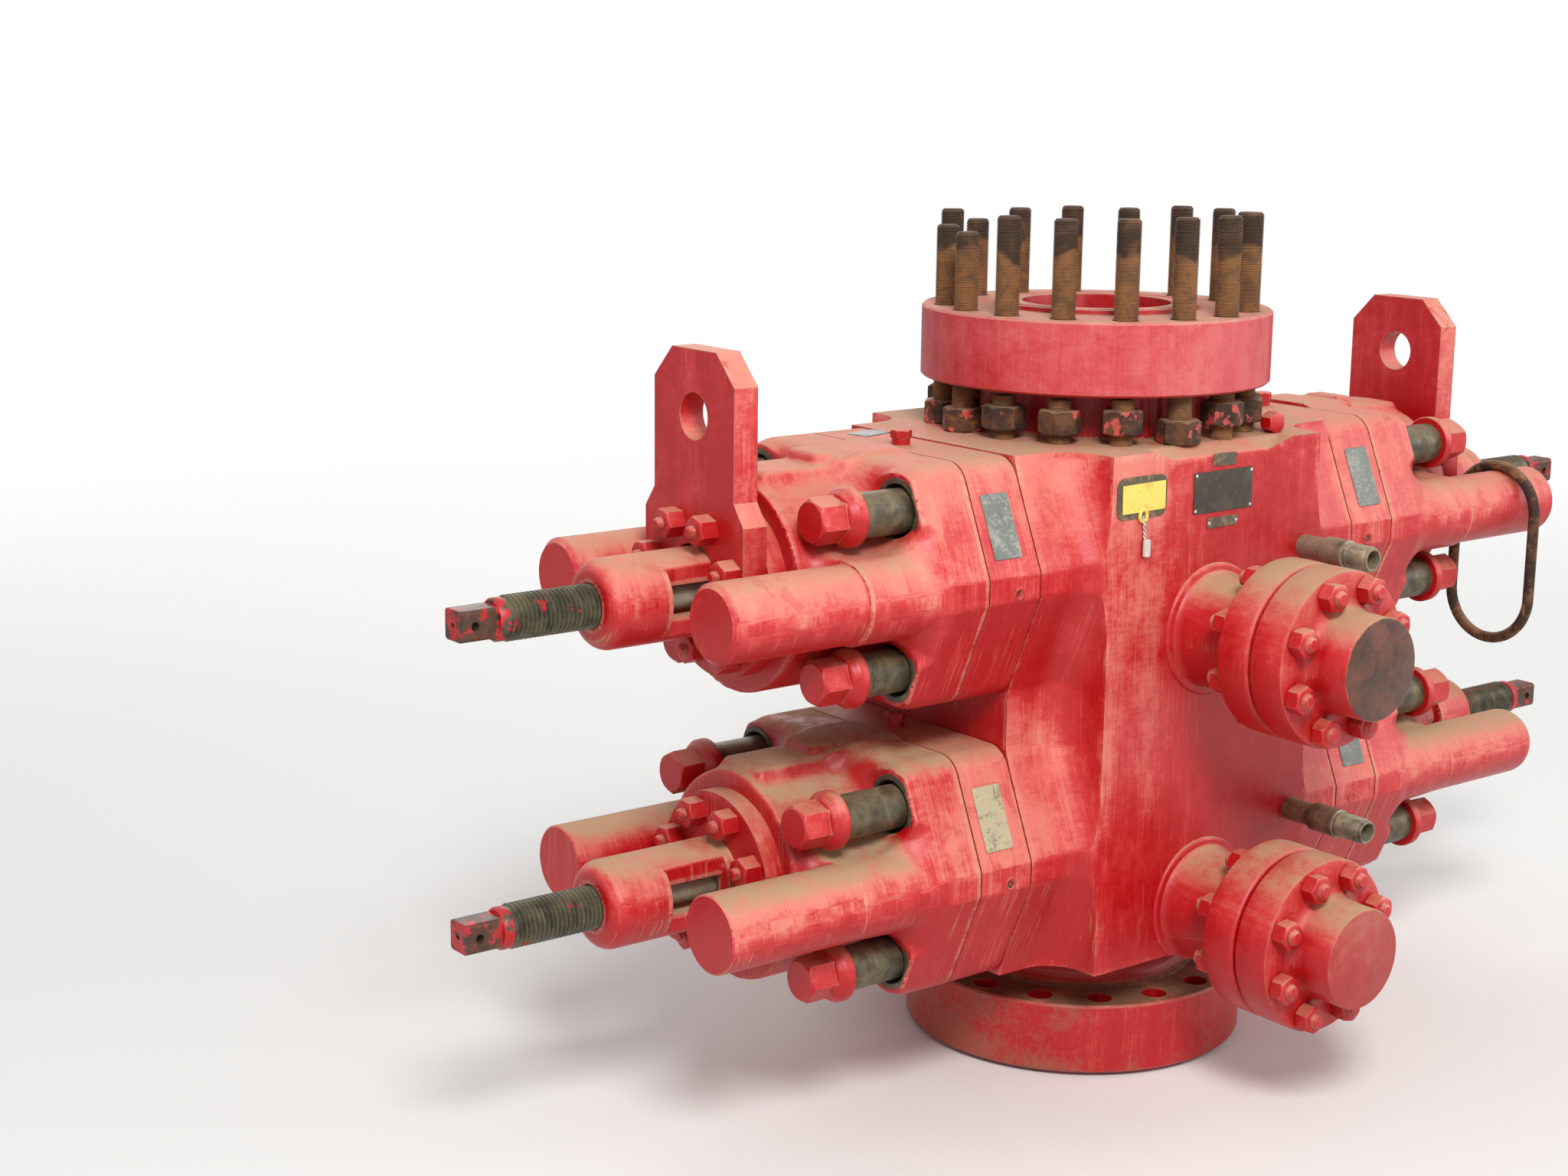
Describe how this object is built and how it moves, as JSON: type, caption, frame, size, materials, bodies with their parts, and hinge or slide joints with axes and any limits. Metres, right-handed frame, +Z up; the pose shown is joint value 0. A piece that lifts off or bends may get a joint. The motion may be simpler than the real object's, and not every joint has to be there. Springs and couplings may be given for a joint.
{
  "type": "double ram blowout preventer",
  "caption": "Ram blowout preventer for a well head: flanged body with side outlets, paired bonnets, locking screws and a studded top flange.",
  "frame": {"origin": "centre of the bottom flange's raised face, on the well bore's axis", "axes": "+Z up along the well bore; +X along the rams, towards the right bonnets; -Y the front, with the side outlets and hydraulic nipples"},
  "size_m": [2.804, 1.436, 1.589],
  "materials": {
    "body_paint": "faded",
    "flange_paint": "faded",
    "bonnet_paint": "faded",
    "stud_rust": "rusted",
    "nut_rust": "rusted",
    "bolt_olive": "oiled",
    "screw_olive": "oiled",
    "nipple_steel": "worn",
    "ring_rust": "rusted"
  },
  "bodies": {
    "stack": {"base_flange": "bonnet_paint", "base_neck": "bonnet_paint", "body": "body_paint", "adapter_flange": "flange_paint", "top_studs": "stud_rust", "top_nuts": "nut_rust", "upper_left_flange": "bonnet_paint", "upper_left_bonnet": "bonnet_paint", "upper_left_cylinders": "bonnet_paint", "upper_left_head": "bonnet_paint", "upper_left_head_nuts": "bonnet_paint", "upper_left_bolts": "bolt_olive", "upper_left_housing": "bonnet_paint", "upper_right_flange": "bonnet_paint", "upper_right_bonnet": "bonnet_paint", "upper_right_cylinders": "bonnet_paint", "upper_right_head": "bonnet_paint", "upper_right_head_nuts": "bonnet_paint", "upper_right_bolts": "bolt_olive", "upper_right_housing": "bonnet_paint", "lower_left_flange": "bonnet_paint", "lower_left_bonnet": "bonnet_paint", "lower_left_cylinders": "bonnet_paint", "lower_left_head": "bonnet_paint", "lower_left_head_nuts": "bonnet_paint", "lower_left_bolts": "bolt_olive", "lower_left_housing": "bonnet_paint", "lower_right_flange": "bonnet_paint", "lower_right_bonnet": "bonnet_paint", "lower_right_cylinders": "bonnet_paint", "lower_right_head": "bonnet_paint", "lower_right_head_nuts": "bonnet_paint", "lower_right_bolts": "bolt_olive", "lower_right_housing": "bonnet_paint", "left_lifting_plate": "bonnet_paint", "right_lifting_plate": "bonnet_paint", "outlet_spools": "flange_paint", "blind_flanges": "flange_paint", "outlet_studs": "flange_paint", "hydraulic_nipples": "nipple_steel", "hanging_ring": "ring_rust"},
    "upper_left_screw_body": {"upper_left_screw": "screw_olive"},
    "upper_right_screw_body": {"upper_right_screw": "screw_olive"},
    "lower_left_screw_body": {"lower_left_screw": "screw_olive"},
    "lower_right_screw_body": {"lower_right_screw": "screw_olive"}
  },
  "joints": [
    {"name": "upper_left_screw_slide", "type": "slide", "parent": "stack", "child": "upper_left_screw_body", "axis": [1, 0, 0], "range_m": [-0.024, 0.15]},
    {"name": "upper_right_screw_slide", "type": "slide", "parent": "stack", "child": "upper_right_screw_body", "axis": [-1, 0, 0], "range_m": [0, 0.174]},
    {"name": "lower_left_screw_slide", "type": "slide", "parent": "stack", "child": "lower_left_screw_body", "axis": [1, 0, 0], "range_m": [-0.024, 0.15]},
    {"name": "lower_right_screw_slide", "type": "slide", "parent": "stack", "child": "lower_right_screw_body", "axis": [-1, 0, 0], "range_m": [0, 0.174]}
  ]
}
